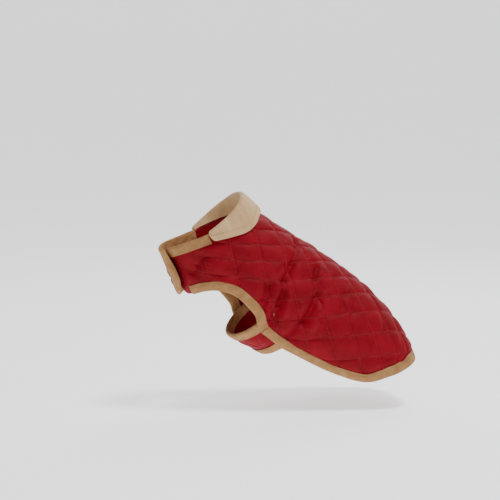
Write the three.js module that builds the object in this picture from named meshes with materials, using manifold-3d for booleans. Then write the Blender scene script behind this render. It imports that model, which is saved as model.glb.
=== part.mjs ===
// Quilted dog winter coat, worn and closed, on a hollow general figure.
// Millimetres, +Z up, +X towards the rump, -Y is the near side, y = 0 is the middle plane.
// The origin is on the back line a little behind the shoulders, at the outer face of the cloth.
import * as THREE from 'three';
import Module from 'manifold-3d';

const wasm = await Module();
wasm.setup();

// Cloth and trim sizes
const WALL = 2.0;
const PUFF = 2.6;
const QUILT_PITCH = 30;
const CELL = QUILT_PITCH * Math.SQRT2 / 4;
const BINDING_WIDTH = 12;
const FLAP_BINDING_WIDTH = 15; // wider, as its leaf at the front shows
const BINDING_CLOTH = 1.2;
const FOLD_ROOM = 0.6;
const SEAM_GAP = 0.3;
const CUT_ROOM = 0.4;
const COLLAR_CLOTH = 2.8;

// Spacing of the points of an edge, on a plain run and on a tight curve
const SAMPLE_STEP = 10.5;
const FLAP_STEP = 7;
const CURVE_STEPS = 12;

// Sections of the figure from the neck edge to behind the hem. Each is an oval between a point on the
// back line and a point on the front or belly line. fullness squares its shoulders, sag moves its
// widest place down towards the belly.
const SECTIONS = [
  { back_x: -60, back_z: 31, front_x: -187, front_z: -23, half_width: 50, fullness: 0.00, sag: -0.25 },
  { back_x: -10, back_z: -1, front_x: -157, front_z: -90, half_width: 68, fullness: 0.15, sag: -0.05 },
  { back_x: 34, back_z: -28, front_x: -104, front_z: -152, half_width: 78, fullness: 0.15, sag: 0.08 },
  { back_x: 81, back_z: -60, front_x: -37, front_z: -191, half_width: 84, fullness: 0.15, sag: 0.12 },
  { back_x: 129, back_z: -101, front_x: 45, front_z: -233, half_width: 91, fullness: 0.15, sag: 0.12 },
  { back_x: 170, back_z: -153, front_x: 122, front_z: -266, half_width: 92, fullness: 0.15, sag: 0.10 },
  { back_x: 185, back_z: -199, front_x: 168, front_z: -283, half_width: 86, fullness: 0.15, sag: 0.06 },
];

// Cloth coordinates: u runs along the back from the neck edge, v runs round from the back line,
// negative on the near side. Both are true millimetres on the figure.

// Armhole edge, from the front of the chest to behind the leg
const ARMHOLE = [
  { u: 58, v: 219 },
  { u: 59, v: 200 },
  { u: 63, v: 185 },
  { u: 69, v: 177 },
  { u: 78, v: 172 },
  { u: 88, v: 172 },
  { u: 99, v: 175 },
  { u: 108, v: 179 },
];

// Unbound edge behind the leg, down to the hem
const STRAP_SEAM = [
  { u: 108, v: 179 },
  { u: 117, v: 188 },
  { u: 126, v: 195 },
];

// Hem from behind the leg to the middle of the rump
const HEM = [
  { u: 126, v: 195 },
  { u: 157, v: 199 },
  { u: 181, v: 197 },
  { u: 208, v: 193 },
  { u: 228, v: 186 },
  { u: 247, v: 176 },
  { u: 261, v: 163 },
  { u: 276, v: 141 },
  { u: 294, v: 117 },
  { u: 308, v: 93 },
  { u: 322, v: 65 },
  { u: 332, v: 34 },
  { u: 336, v: 0 },
];

// Rounded end of the overlapping flap; past is how far it reaches beyond the middle of the chest
const FAR_FLAP_END = [
  { u: 57, past: -36 },
  { u: 57, past: -21 },
  { u: 54, past: -2 },
  { u: 48, past: 11 },
  { u: 40, past: 17 },
  { u: 31, past: 17 },
  { u: 20, past: 14 },
  { u: 10, past: 10 },
  { u: 1, past: 6 },
  { u: -4, past: 0 },
  { u: -5, past: -18 },
];

// Plain hidden end of the flap that runs under it
const NEAR_FLAP_END = [
  { u: 0, past: -2 },
  { u: 4, past: 8 },
  { u: 14, past: 14 },
  { u: 30, past: 14 },
  { u: 44, past: 12 },
  { u: 54, past: 3 },
  { u: 58, past: -12 },
  { u: 58, past: -36 },
];

// How far the overlapping flap stands off the chest, over which length it lifts, and from where and
// over which length the flap under it goes flat
const LAP_LIFT = 9.0;
const LAP_RUN = 60;
const LAP_FLAT = 66;
const LAP_FADE = 12;

// Puffs are full from this far inside the binding, and start this far from it
const PUFF_FADE = 9;
const PUFF_START = 1;

// A lattice point nearer to the outline than this share of a cell moves onto it
const SNAP = 0.3;

// Half the distance over which a slope of the figure is taken
const SLOPE_REACH = 1.5;

// Folded edge of a binding: how far it stands past the cloth's edge, and where its corners begin
const FOLD_NOSE = 1.6;
const FOLD_CORNER = 0.4;

// Narrow tail of an armhole binding: the share of width that it loses, and where along it that starts
const TAIL_LOSS = 0.4;
const TAIL_START = 0.75;

// Largest folds of each side: soft troughs from one point to the other
const FOLDS = [
  { u0: 76, v0: 34, u1: 100, v1: 112, depth: 3.8, width: 8 },
  { u0: 108, v0: 126, u1: 123, v1: 171, depth: 4.2, width: 8 },
  { u0: 91, v0: 130, u1: 106, v1: 167, depth: 3.4, width: 7 },
  { u0: 123, v0: 66, u1: 128, v1: 82, depth: 2.8, width: 7 },
  { u0: 146, v0: 92, u1: 154, v1: 178, depth: 4.0, width: 9 },
  { u0: 22, v0: 152, u1: 34, v1: 184, depth: 3.0, width: 8 },
];

// Collar along the neck, from the middle of the back to its front ends: how far the roll stands up and
// out from the neck edge, half its thickness, and how far the fall reaches down and lies off the cloth
const COLLAR = [
  { v: 0, roll_up: 27, roll_out: 12, roll_half: 2.6, edge_down: 7, edge_out: 8.0 },
  { v: 30, roll_up: 25, roll_out: 12, roll_half: 2.6, edge_down: 9, edge_out: 7.8 },
  { v: 50, roll_up: 20, roll_out: 11.5, roll_half: 2.6, edge_down: 16, edge_out: 7.2 },
  { v: 64, roll_up: 15.5, roll_out: 11, roll_half: 2.6, edge_down: 18, edge_out: 7.0 },
  { v: 80, roll_up: 10.5, roll_out: 9.5, roll_half: 2.5, edge_down: 15, edge_out: 6.8 },
  { v: 96, roll_up: 6, roll_out: 7.5, roll_half: 2.3, edge_down: 12, edge_out: 6.6 },
  { v: 107, roll_up: 3, roll_out: 6.5, roll_half: 2, edge_down: 10, edge_out: 6.4 },
  { v: 112, roll_up: 1.5, roll_out: 6, roll_half: 1.9, edge_down: 9, edge_out: 6.4 },
];
const COLLAR_END_V = 112;
const STAND_LEAN = 0.9;

// Middle places of the collar's stand and fall, as shares of their height, and the fall's roundness
const STAND_UP = 0.5;
const STAND_OUT = 0.45;
const FALL_DOWN = 0.45;
const FALL_ROUND = 0.6;

// Belly strap: its two long edges, and where its ends lie under the flanks
const STRAP = { front_u: 118, rear_u: 160, near_v: 158, far_v: 142 };
const STRAP_PUFF = 1.6;

// How deep the strap lies under the cloth: between its ends, where it is sewn and where it is fastened
const STRAP_UNDER = 6.4;
const SEWN_UNDER = 4.2;
const FASTENED_UNDER = 8.4;

// Lengths of the strap's sewn and fastened ends, and the lengths over which it comes to their depth
const SEWN_END = 22;
const SEWN_FADE = 10;
const FASTENED_END = 56;
const FASTENED_FADE = 14;

// Lengths of the strap's unquilted ends
const FLAT_NEAR = 34;
const FLAT_FAR = 60;
const FLAT_FADE = 10;

// Hook-and-loop patches, in cloth coordinates
const CHEST_PATCH = { u0: 16, u1: 36, inner_past: -15, outer_past: -5 };
const STRAP_PATCH = { u0: 132, u1: 146, inner_v: 150, outer_v: 182 };
const PATCH_CLOTH = 2.2;
const PATCH_STEPS = 4;

const RING_STEPS = 40;
const UP_NECK = 6;

function smoothstep(x) {
  const t = Math.min(1, Math.max(0, x));
  return t * t * (3 - 2 * t);
}

function catmullRom(p0, p1, p2, p3, t) {
  const a = 2 * p1;
  const b = (p2 - p0) * t;
  const c = (2 * p0 - 5 * p1 + 4 * p2 - p3) * t * t;
  const d = (3 * p1 - p0 - 3 * p2 + p3) * t * t * t;
  return 0.5 * (a + b + c + d);
}

function blendRows(rows, k, t) {
  const p1 = rows[k];
  const p2 = rows[k + 1];
  const out = {};
  for (const key of Object.keys(p1)) {
    const before = k > 0 ? rows[k - 1][key] : 2 * p1[key] - p2[key];
    const after = k + 2 < rows.length ? rows[k + 2][key] : 2 * p2[key] - p1[key];
    out[key] = catmullRom(before, p1[key], p2[key], after, t);
  }
  return out;
}

const STATION_U = [0];
for (let k = 1; k < SECTIONS.length; k += 1) {
  const a = SECTIONS[k - 1];
  const b = SECTIONS[k];
  STATION_U.push(STATION_U[k - 1] + Math.hypot(b.back_x - a.back_x, b.back_z - a.back_z));
}

function sectionAt(u) {
  let k = 0;
  while (k < SECTIONS.length - 2 && u > STATION_U[k + 1]) k += 1;
  return blendRows(SECTIONS, k, (u - STATION_U[k]) / (STATION_U[k + 1] - STATION_U[k]));
}

function ovalPoint(section, angle) {
  const c = Math.cos(angle);
  const s = Math.sin(angle);
  const side = section.half_width * s * (1 + section.fullness * c * c - section.sag * c);
  return new THREE.Vector3(
    (section.back_x + section.front_x + (section.back_x - section.front_x) * c) / 2,
    side,
    (section.back_z + section.front_z + (section.back_z - section.front_z) * c) / 2,
  );
}

const ringCache = new Map();

function ringAt(u) {
  if (!ringCache.has(u)) {
    const section = sectionAt(u);
    const lengths = [0];
    let last = ovalPoint(section, 0);
    for (let k = 1; k <= RING_STEPS; k += 1) {
      const next = ovalPoint(section, Math.PI * k / RING_STEPS);
      lengths.push(lengths[k - 1] + next.distanceTo(last));
      last = next;
    }
    ringCache.set(u, { section, lengths });
  }
  return ringCache.get(u);
}

function halfGirth(u) {
  return ringAt(Math.max(0, u)).lengths[RING_STEPS];
}

function figurePoint(u, v) {
  if (u < 0) {
    const edge = figurePoint(0, v);
    const slope = figurePoint(UP_NECK, v).sub(edge);
    return edge.addScaledVector(slope, u / UP_NECK);
  }
  const { section, lengths } = ringAt(u);
  const half = lengths[RING_STEPS];
  const beyond = Math.abs(v) > half;
  const along = beyond ? 2 * half - Math.abs(v) : Math.abs(v);
  let k = 0;
  while (k < RING_STEPS - 1 && along > lengths[k + 1]) k += 1;
  const t = (along - lengths[k]) / (lengths[k + 1] - lengths[k]);
  const point = ovalPoint(section, Math.PI * (k + t) / RING_STEPS);
  if ((v < 0) !== beyond) point.y = -point.y;
  return point;
}

function outward(u, v) {
  const e = SLOPE_REACH;
  const along = figurePoint(u + e, v).sub(figurePoint(u - e, v));
  const around = figurePoint(u, v + e).sub(figurePoint(u, v - e));
  return along.cross(around).normalize();
}

function foldDepth(u, v) {
  const round = Math.min(Math.abs(v), 2 * halfGirth(u) - Math.abs(v));
  let depth = 0;
  for (const fold of FOLDS) {
    const du = fold.u1 - fold.u0;
    const dv = fold.v1 - fold.v0;
    const pu = u - fold.u0;
    const pv = round - fold.v0;
    const t = Math.min(1, Math.max(0, (pu * du + pv * dv) / (du * du + dv * dv)));
    const gap = Math.hypot(pu - t * du, pv - t * dv) / fold.width;
    depth += fold.depth * Math.exp(-gap * gap);
  }
  return depth;
}

// A point h outside the plain inner face of the cloth
function clothPoint(u, v, h) {
  const lift = LAP_LIFT * smoothstep((v - halfGirth(u) + LAP_RUN) / LAP_RUN);
  return figurePoint(u, v).addScaledVector(outward(u, v), h + lift - foldDepth(u, v));
}

// Outline curves in cloth coordinates

function smoothCurve(rows, step) {
  const fine = [];
  for (let k = 0; k < rows.length - 1; k += 1) {
    for (let n = 0; n < CURVE_STEPS; n += 1) fine.push(blendRows(rows, k, n / CURVE_STEPS));
  }
  fine.push(rows[rows.length - 1]);
  const travel = [0];
  for (let k = 1; k < fine.length; k += 1) {
    const hop = Math.hypot(fine[k].u - fine[k - 1].u, fine[k].v - fine[k - 1].v);
    travel.push(travel[k - 1] + hop);
  }
  const total = travel[travel.length - 1];
  const count = Math.max(1, Math.round(total / step));
  const out = [];
  let k = 0;
  for (let n = 0; n <= count; n += 1) {
    const want = total * n / count;
    while (k < fine.length - 2 && want > travel[k + 1]) k += 1;
    const t = (want - travel[k]) / (travel[k + 1] - travel[k]);
    out.push({
      u: fine[k].u + (fine[k + 1].u - fine[k].u) * t,
      v: fine[k].v + (fine[k + 1].v - fine[k].v) * t,
    });
  }
  return out;
}

function onNearSide(rows) {
  return rows.map((row) => ({ u: row.u, v: -row.v }));
}

function fromChestMiddle(rows, side) {
  return rows.map((row) => ({ u: row.u, v: side * (halfGirth(row.u) + row.past) }));
}

function joined(...curves) {
  const out = [];
  for (const curve of curves) out.push(...curve.slice(0, -1));
  return out;
}

const hemRows = [...onNearSide(HEM), ...HEM.slice(0, -1).reverse()];
const nearFlapRows = fromChestMiddle(NEAR_FLAP_END, -1);
const farFlapRows = fromChestMiddle(FAR_FLAP_END, 1);
const nearArmholeRows = [nearFlapRows[nearFlapRows.length - 1], ...onNearSide(ARMHOLE).slice(1)];
const farArmholeRows = [...ARMHOLE.slice(1).reverse(), farFlapRows[0]];
const farNeckRows = [farFlapRows[farFlapRows.length - 1], { u: 0, v: COLLAR_END_V }];
const neckRows = [{ u: 0, v: COLLAR_END_V }, { u: 0, v: 0 }, { u: 0, v: -COLLAR_END_V }];
const nearNeckRows = [{ u: 0, v: -COLLAR_END_V }, nearFlapRows[0]];

const edges = {
  nearFlap: smoothCurve(nearFlapRows, SAMPLE_STEP),
  nearArmhole: smoothCurve(nearArmholeRows, SAMPLE_STEP),
  nearSeam: smoothCurve(onNearSide(STRAP_SEAM), SAMPLE_STEP),
  hem: smoothCurve(hemRows, SAMPLE_STEP),
  farSeam: smoothCurve([...STRAP_SEAM].reverse(), SAMPLE_STEP),
  farArmhole: smoothCurve(farArmholeRows, SAMPLE_STEP),
  farFlap: smoothCurve(farFlapRows, FLAP_STEP),
  farNeck: smoothCurve(farNeckRows, FLAP_STEP),
  neck: smoothCurve(neckRows, SAMPLE_STEP),
  nearNeck: smoothCurve(nearNeckRows, FLAP_STEP),
};
const panelOutline = joined(edges.nearFlap, edges.nearArmhole, edges.nearSeam, edges.hem,
  edges.farSeam, edges.farArmhole, edges.farFlap, edges.farNeck, edges.neck, edges.nearNeck);

// The far armhole, flap end and neck are one edge, bound in three runs
const farEdge = [...joined(edges.farArmhole, edges.farFlap, edges.farNeck), { u: 0, v: COLLAR_END_V }];
const farFlapFrom = edges.farArmhole.length - 1;
const farFlapTo = farFlapFrom + edges.farFlap.length - 1;

// The strap goes on round the figure from the near flank, past the belly line, to the far flank
const BELLY_V = halfGirth((STRAP.front_u + STRAP.rear_u) / 2);
const STRAP_START = -STRAP.near_v;
const STRAP_END = -2 * BELLY_V + STRAP.far_v;

const strapFrontEdge = smoothCurve([
  { u: STRAP.front_u, v: STRAP_START },
  { u: STRAP.front_u, v: STRAP_END },
], SAMPLE_STEP);
const strapRearEdge = smoothCurve([
  { u: STRAP.rear_u, v: STRAP_END },
  { u: STRAP.rear_u, v: STRAP_START },
], SAMPLE_STEP);
const strapOutline = [...strapFrontEdge, ...strapRearEdge];

// Inner face of the strap: drawn up to the flank where it is sewn, lower where the fastener lies on it
function strapBase(v) {
  const sewn = smoothstep((v - STRAP_START + SEWN_END) / SEWN_FADE);
  const fastened = smoothstep((STRAP_END + FASTENED_END - v) / FASTENED_FADE);
  const rise = (STRAP_UNDER - SEWN_UNDER) * sewn;
  const drop = (FASTENED_UNDER - STRAP_UNDER) * fastened;
  return rise - drop - STRAP_UNDER;
}

// Quilted cloth: a lattice whose cell diagonals follow the stitch lines, cut at an outline

function nearestOnOutline(outline, u, v) {
  let best = null;
  let inside = false;
  for (let k = 0; k < outline.length; k += 1) {
    const a = outline[k];
    const b = outline[(k + 1) % outline.length];
    const du = b.u - a.u;
    const dv = b.v - a.v;
    const t = Math.min(1, Math.max(0, ((u - a.u) * du + (v - a.v) * dv) / (du * du + dv * dv)));
    const qu = a.u + du * t;
    const qv = a.v + dv * t;
    const gap = Math.hypot(u - qu, v - qv);
    if (!best || gap < best.gap) {
      const length = Math.hypot(du, dv);
      best = { u: qu, v: qv, gap, outU: dv / length, outV: -du / length };
    }
    if ((a.v > v) !== (b.v > v) && u < a.u + du * (v - a.v) / dv) inside = !inside;
  }
  best.inside = inside ? best.gap : -best.gap;
  return best;
}

function solidFrom(points, triangles) {
  const geometry = new THREE.BufferGeometry();
  const places = points.flatMap((p) => [p.x, p.y, p.z]);
  geometry.setAttribute('position', new THREE.Float32BufferAttribute(places, 3));
  geometry.setIndex(triangles.flat());
  geometry.computeVertexNormals();
  return geometry;
}

// The same solid with every face turned if they point inwards
function outsideOut(points, faces) {
  let volume = 0;
  for (const [a, b, c] of faces) volume += points[a].dot(points[b].clone().cross(points[c]));
  return solidFrom(points, volume < 0 ? faces.map(([a, b, c]) => [a, c, b]) : faces);
}

function manifoldOf(geometry) {
  return new wasm.Manifold(new wasm.Mesh({
    numProp: 3,
    vertProperties: Float32Array.from(geometry.getAttribute('position').array),
    triVerts: Uint32Array.from(geometry.getIndex().array),
  }));
}

// What is left of a piece outside the room that a neighbour needs
function cutClear(geometry, ...rooms) {
  let rest = manifoldOf(geometry);
  for (const room of rooms) rest = rest.subtract(manifoldOf(room));
  const pieces = rest.decompose().sort((a, b) => b.volume() - a.volume());
  const mesh = pieces[0].getMesh();
  const cut = new THREE.BufferGeometry();
  cut.setAttribute('position', new THREE.Float32BufferAttribute(mesh.vertProperties, 3));
  cut.setIndex(Array.from(mesh.triVerts));
  cut.computeVertexNormals();
  return cut;
}

// Two skins over the same flat triangles, joined round the edge
function wallSolid(nodes, triangles, outerPoint, innerPoint) {
  const count = nodes.length;
  const points = [...nodes.map(outerPoint), ...nodes.map(innerPoint)];
  const faces = [];
  const border = new Map();
  for (const [a, b, c] of triangles) {
    faces.push([a, b, c], [a + count, c + count, b + count]);
    for (const [p, q] of [[a, b], [b, c], [c, a]]) {
      const back = `${q},${p}`;
      if (border.has(back)) border.delete(back);
      else border.set(`${p},${q}`, [p, q]);
    }
  }
  for (const [p, q] of border.values()) {
    faces.push([q, p, p + count], [q, p + count, q + count]);
  }
  return outsideOut(points, faces);
}

function quiltLattice(outline) {
  const snap = SNAP * CELL;
  const nodes = [];
  const latticeNode = new Map();
  const cutNode = new Map();
  const us = outline.map((p) => p.u);
  const vs = outline.map((p) => p.v);
  const i0 = Math.floor(Math.min(...us) / CELL) - 1;
  const i1 = Math.ceil(Math.max(...us) / CELL) + 1;
  const j0 = Math.floor(Math.min(...vs) / CELL) - 1;
  const j1 = Math.ceil(Math.max(...vs) / CELL) + 1;

  function corner(i, j) {
    const key = `${i},${j}`;
    if (!latticeNode.has(key)) {
      const u = i * CELL;
      const v = j * CELL;
      const near = nearestOnOutline(outline, u, v);
      const onEdge = near.gap < snap;
      const across = Math.sin(Math.PI * (i + j) / 4) * Math.sin(Math.PI * (i - j) / 4);
      latticeNode.set(key, {
        key,
        u: onEdge ? near.u : u,
        v: onEdge ? near.v : v,
        inside: onEdge ? 0 : near.inside,
        puff: onEdge ? 0 : Math.sqrt(Math.abs(across)),
        outU: onEdge ? near.outU : 0,
        outV: onEdge ? near.outV : 0,
        index: -1,
      });
    }
    return latticeNode.get(key);
  }

  function indexOf(node) {
    if (node.index < 0) {
      node.index = nodes.length;
      nodes.push(node);
    }
    return node.index;
  }

  function cutBetween(a, b) {
    const key = a.key < b.key ? `${a.key}|${b.key}` : `${b.key}|${a.key}`;
    if (!cutNode.has(key)) {
      const t = a.inside / (a.inside - b.inside);
      const near = nearestOnOutline(outline, a.u + (b.u - a.u) * t, a.v + (b.v - a.v) * t);
      cutNode.set(key, { ...near, key, inside: 0, puff: 0, index: -1 });
    }
    return cutNode.get(key);
  }

  const triangles = [];

  function addTriangle(corners) {
    if (!corners.some((node) => node.inside > 0)) return;
    const polygon = [];
    for (let k = 0; k < 3; k += 1) {
      const a = corners[k];
      const b = corners[(k + 1) % 3];
      if (a.inside >= 0) polygon.push(a);
      if (a.inside * b.inside < 0) polygon.push(cutBetween(a, b));
    }
    for (let k = 1; k < polygon.length - 1; k += 1) {
      triangles.push([indexOf(polygon[0]), indexOf(polygon[k]), indexOf(polygon[k + 1])]);
    }
  }

  for (let i = i0; i < i1; i += 1) {
    for (let j = j0; j < j1; j += 1) {
      const a = corner(i, j);
      const b = corner(i + 1, j);
      const c = corner(i + 1, j + 1);
      const d = corner(i, j + 1);
      if ((i - j) % 2 === 0) {
        addTriangle([a, b, c]);
        addTriangle([a, c, d]);
      } else {
        addTriangle([a, b, d]);
        addTriangle([b, c, d]);
      }
    }
  }
  return { nodes, triangles };
}

// Puffs fade out under a binding and beside an edge
function puffAt(node, height) {
  return height * node.puff * smoothstep((node.inside - BINDING_WIDTH - PUFF_START) / PUFF_FADE);
}

// A node of the lattice, moved out past the outline by the room when it lies on it
function grownPoint(node, room, h) {
  return clothPoint(node.u + (node.outU ?? 0) * room, node.v + (node.outV ?? 0) * room, h);
}

// Room is left free on both faces when it is made for a neighbour to be cut by
function bodyPanel(room = 0) {
  const { nodes, triangles } = quiltLattice(panelOutline);
  const lapped = (n) => smoothstep((LAP_FLAT - n.v - halfGirth(n.u)) / LAP_FADE);
  const raised = (n) => puffAt(n, PUFF) * (1 - lapped(n));
  return wallSolid(
    nodes,
    triangles,
    (n) => grownPoint(n, room, room + WALL + raised(n)),
    (n) => grownPoint(n, room, -room),
  );
}

function strapPanel(room = 0) {
  const { nodes, triangles } = quiltLattice(strapOutline);
  const fromNear = (v) => smoothstep((STRAP_START - FLAT_NEAR - v) / FLAT_FADE);
  const fromFar = (v) => smoothstep((v - STRAP_END - FLAT_FAR) / FLAT_FADE);
  const raised = (n) => puffAt(n, STRAP_PUFF) * fromNear(n.v) * fromFar(n.v);
  return wallSolid(
    nodes,
    triangles,
    (n) => grownPoint(n, room, room + strapBase(n.v) + WALL + raised(n)),
    (n) => grownPoint(n, room, strapBase(n.v) - room),
  );
}

// A patch of even thickness lying h off the plain inner face; vAt gives v from u and a share of its width
function patch(u0, u1, vAt, h) {
  const sections = [];
  const middle = (u0 + u1) / 2;
  const top = h + PATCH_CLOTH;
  const flat = [[u0, h], [middle, h], [u1, h], [u1, top], [middle, top], [u0, top]];
  for (let n = 0; n <= PATCH_STEPS; n += 1) {
    sections.push(flat.map(([u, out]) => [u, vAt(u, n / PATCH_STEPS), out]));
  }
  return loft(sections, flat);
}

// The two chest patches face each other: past is counted from the middle of the chest on the far side
function chestPatch(side, h) {
  const { u0, u1, inner_past: inner, outer_past: outer } = CHEST_PATCH;
  return patch(u0, u1, (u, s) => side * halfGirth(u) + inner + (outer - inner) * s, h);
}

function strapPatch(h) {
  const { u0, u1, inner_v: inner, outer_v: outer } = STRAP_PATCH;
  return patch(u0, u1, (u, s) => inner + (outer - inner) * s - 2 * BELLY_V, h);
}

// Cross-sections lofted into one closed solid; each holds [u, v, h] points
function loft(sections, flatSection) {
  const size = flatSection.length;
  const points = sections.flat().map(([u, v, h]) => clothPoint(u, v, h));
  const faces = [];
  for (let s = 0; s < sections.length - 1; s += 1) {
    for (let k = 0; k < size; k += 1) {
      const a = s * size + k;
      const b = s * size + (k + 1) % size;
      faces.push([a, b, b + size], [a, b + size, a + size]);
    }
  }
  const contour = flatSection.map(([x, y]) => new THREE.Vector2(x, y));
  const turn = THREE.ShapeUtils.area(contour) > 0 ? 1 : -1;
  const last = (sections.length - 1) * size;
  for (const corners of THREE.ShapeUtils.triangulateShape(contour, [])) {
    const area = THREE.ShapeUtils.area(corners.map((k) => contour[k]));
    const [a, b, c] = area * turn > 0 ? corners : [corners[0], corners[2], corners[1]];
    faces.push([a, c, b], [a + last, b + last, c + last]);
  }
  return outsideOut(points, faces);
}

// Directions of one true millimetre along and square to an edge, in cloth coordinates
function edgeFrame(samples, k) {
  const a = samples[Math.max(0, k - 1)];
  const b = samples[Math.min(samples.length - 1, k + 1)];
  const { u, v } = samples[k];
  const e = SLOPE_REACH;
  const along = figurePoint(u + e, v).sub(figurePoint(u - e, v)).divideScalar(2 * e);
  const around = figurePoint(u, v + e).sub(figurePoint(u, v - e)).divideScalar(2 * e);
  const trueLength = (du, dv) => along.clone().multiplyScalar(du).addScaledVector(around, dv).length();
  const du = b.u - a.u;
  const dv = b.v - a.v;
  const skew = along.dot(around);
  const inU = -(skew * du + around.lengthSq() * dv);
  const inV = along.lengthSq() * du + skew * dv;
  const run = trueLength(du, dv);
  const into = trueLength(inU, inV);
  return { onward: { u: du / run, v: dv / run }, inward: { u: inU / into, v: inV / into } };
}

// Binding folded over an edge: t runs into the cloth, h off its inner face
function bindingSection(width, base) {
  const over = base + WALL + FOLD_ROOM;
  const under = base - FOLD_ROOM;
  return [
    [width, over],
    [-FOLD_ROOM, over],
    [-FOLD_ROOM, under],
    [width, under],
    [width, under - BINDING_CLOTH],
    [FOLD_CORNER, under - BINDING_CLOTH],
    [-FOLD_ROOM - FOLD_NOSE, (over + under) / 2],
    [FOLD_CORNER, over + BINDING_CLOTH],
    [width, over + BINDING_CLOTH],
  ];
}

// Samples first to last of an edge, each with its direction into the cloth; the run's two ends are
// drawn in by a seam gap
function edgeRun(samples, first = 0, last = samples.length - 1) {
  const run = [];
  for (let k = first; k <= last; k += 1) {
    const { u, v } = samples[k];
    const draw = (k === first ? SEAM_GAP : 0) - (k === last ? SEAM_GAP : 0);
    const { onward, inward } = edgeFrame(samples, k);
    run.push({ u: u + onward.u * draw, v: v + onward.v * draw, inward });
  }
  return run;
}

function binding(run, widthAt = () => BINDING_WIDTH, baseAt = () => 0) {
  const sections = run.map(({ u, v, inward }, k) => {
    const flat = bindingSection(widthAt(k / (run.length - 1)), baseAt(v));
    return flat.map(([t, h]) => [u + inward.u * t, v + inward.v * t, h]);
  });
  return loft(sections, bindingSection(BINDING_WIDTH, 0));
}

function collarRow(v) {
  const side = Math.abs(v);
  let k = 0;
  while (k < COLLAR.length - 2 && side > COLLAR[k + 1].v) k += 1;
  const t = (side - COLLAR[k].v) / (COLLAR[k + 1].v - COLLAR[k].v);
  return blendRows(COLLAR, k, t);
}

// Middle line of the collar's cloth across the neck edge: stand, roll and fall, as [up, out]
function collarLine(v) {
  const row = collarRow(v);
  const foot = WALL / 2;
  const stand = row.roll_out - row.roll_half;
  const fall = row.roll_out + row.roll_half;
  return [
    [SEAM_GAP + STAND_LEAN, foot],
    [row.roll_up * STAND_UP, foot + (stand - foot) * STAND_OUT],
    [row.roll_up, stand],
    [row.roll_up + row.roll_half, row.roll_out],
    [row.roll_up, fall],
    [(row.roll_up - row.edge_down) * FALL_DOWN, (fall + row.edge_out) / 2 + FALL_ROUND],
    [-row.edge_down, row.edge_out],
  ];
}

function thickened(line, thickness) {
  const left = [];
  const right = [];
  for (let k = 0; k < line.length; k += 1) {
    const a = line[Math.max(0, k - 1)];
    const b = line[Math.min(line.length - 1, k + 1)];
    const length = Math.hypot(b[0] - a[0], b[1] - a[1]);
    const nx = -(b[1] - a[1]) / length * thickness / 2;
    const ny = (b[0] - a[0]) / length * thickness / 2;
    left.push([line[k][0] + nx, line[k][1] + ny]);
    right.push([line[k][0] - nx, line[k][1] - ny]);
  }
  return [...left, ...right.reverse()];
}

function collar() {
  const sections = [];
  const endV = COLLAR_END_V - 4 * SEAM_GAP;
  const steps = Math.round(2 * endV / SAMPLE_STEP);
  for (let n = 0; n <= steps; n += 1) {
    const v = endV * (2 * n / steps - 1);
    const { inward } = edgeFrame([{ u: 0, v: v + 1 }, { u: 0, v }, { u: 0, v: v - 1 }], 1);
    const flat = thickened(collarLine(v), COLLAR_CLOTH);
    sections.push(flat.map(([up, out]) => [-inward.u * up, v - inward.v * up, out]));
  }
  return loft(sections, thickened(collarLine(COLLAR_END_V), COLLAR_CLOTH));
}

const COLOURS = { red: 0x9b1923, tan: 0xb99669, suede: 0xc8aa82, fastener: 0x8d7c70 };

function clothMaterial(colour, roughness) {
  return new THREE.MeshStandardMaterial({ color: colour, roughness, metalness: 0 });
}

const materials = {
  red: clothMaterial(COLOURS.red, 0.7),
  tan: clothMaterial(COLOURS.tan, 0.9),
  suede: clothMaterial(COLOURS.suede, 0.95),
  fastener: clothMaterial(COLOURS.fastener, 0.95),
};

const coat = new THREE.Group();

function add(name, geometry, material) {
  const mesh = new THREE.Mesh(geometry, material);
  mesh.name = name;
  coat.add(mesh);
}

function narrowTail(s) {
  return BINDING_WIDTH * (1 - TAIL_LOSS * smoothstep((s - TAIL_START) / (1 - TAIL_START)));
}

const panelRoom = bodyPanel(CUT_ROOM);
const strapRoom = strapPanel(CUT_ROOM);
const tanPieces = {
  hem_binding: binding(edgeRun(edges.hem)),
  armhole_binding_near: binding(edgeRun(edges.nearArmhole), narrowTail),
  armhole_binding_far: binding(edgeRun(farEdge, 0, farFlapFrom), (s) => narrowTail(1 - s)),
  flap_binding: binding(edgeRun(farEdge, farFlapFrom, farFlapTo), () => FLAP_BINDING_WIDTH),
  neck_binding_far: binding(edgeRun(farEdge, farFlapTo)),
  neck_binding_near: binding(edgeRun(edges.nearNeck)),
};
const strapPieces = {
  strap_binding_front: binding(edgeRun(strapFrontEdge), undefined, strapBase),
  strap_binding_rear: binding(edgeRun(strapRearEdge), undefined, strapBase),
};
const panelPatches = {
  chest_fastener_loop: chestPatch(-1, WALL + SEAM_GAP),
  chest_fastener_hook: chestPatch(1, -SEAM_GAP - PATCH_CLOTH),
  strap_fastener_loop: strapPatch(-SEAM_GAP - PATCH_CLOTH),
};
const strapHook = strapPatch(WALL + SEAM_GAP - FASTENED_UNDER);

add('body_panel', bodyPanel(), materials.red);
add('collar', cutClear(collar(), panelRoom), materials.suede);
for (const [name, geometry] of Object.entries(tanPieces)) {
  add(name, cutClear(geometry, panelRoom), materials.tan);
}
add('belly_strap', strapPanel(), materials.red);
for (const [name, geometry] of Object.entries(strapPieces)) {
  add(name, cutClear(geometry, strapRoom), materials.tan);
}
for (const [name, geometry] of Object.entries(panelPatches)) {
  add(name, cutClear(geometry, panelRoom), materials.fastener);
}
add('strap_fastener_hook', cutClear(strapHook, strapRoom), materials.fastener);

export default coat;
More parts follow.
